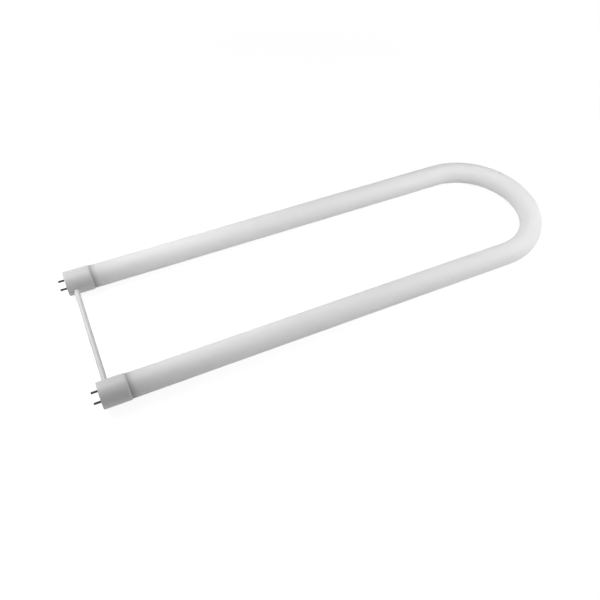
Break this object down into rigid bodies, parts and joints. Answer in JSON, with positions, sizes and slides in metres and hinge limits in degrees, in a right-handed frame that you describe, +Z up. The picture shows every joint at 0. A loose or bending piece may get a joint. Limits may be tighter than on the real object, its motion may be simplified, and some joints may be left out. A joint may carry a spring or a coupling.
{
  "type": "u shaped fluorescent bulb",
  "caption": "Opal glass fluorescent tube bent into a U, with a two-pin cap on each end and a round spacer bar between the caps.",
  "frame": {"origin": "centre of the lamp's outline, on the surface that it lies on", "axes": "+X from the caps towards the bend, +Y across the legs, +Z up out of the plane of the U"},
  "size_m": [0.5716, 0.18, 0.0276],
  "materials": {
    "opal_glass": "smooth glass, white phosphor inside, can't be seen through",
    "white_cap": "satin moulded white plastic",
    "white_bar": "smooth white plastic",
    "contact_metal": "dull plated brass",
    "cement": "dull, baked",
    "lead_wire": "drawn wire"
  },
  "bodies": {
    "root": {"glass_tube": "opal_glass", "left_end_cap": "white_cap", "right_end_cap": "white_cap", "left_outer_pin": "contact_metal", "left_inner_pin": "contact_metal", "right_outer_pin": "contact_metal", "right_inner_pin": "contact_metal", "spacer_bar": "white_bar", "left_cap_cement": "cement", "right_cap_cement": "cement", "left_outer_lead": "lead_wire", "left_inner_lead": "lead_wire", "right_outer_lead": "lead_wire", "right_inner_lead": "lead_wire"}
  },
  "joints": []
}
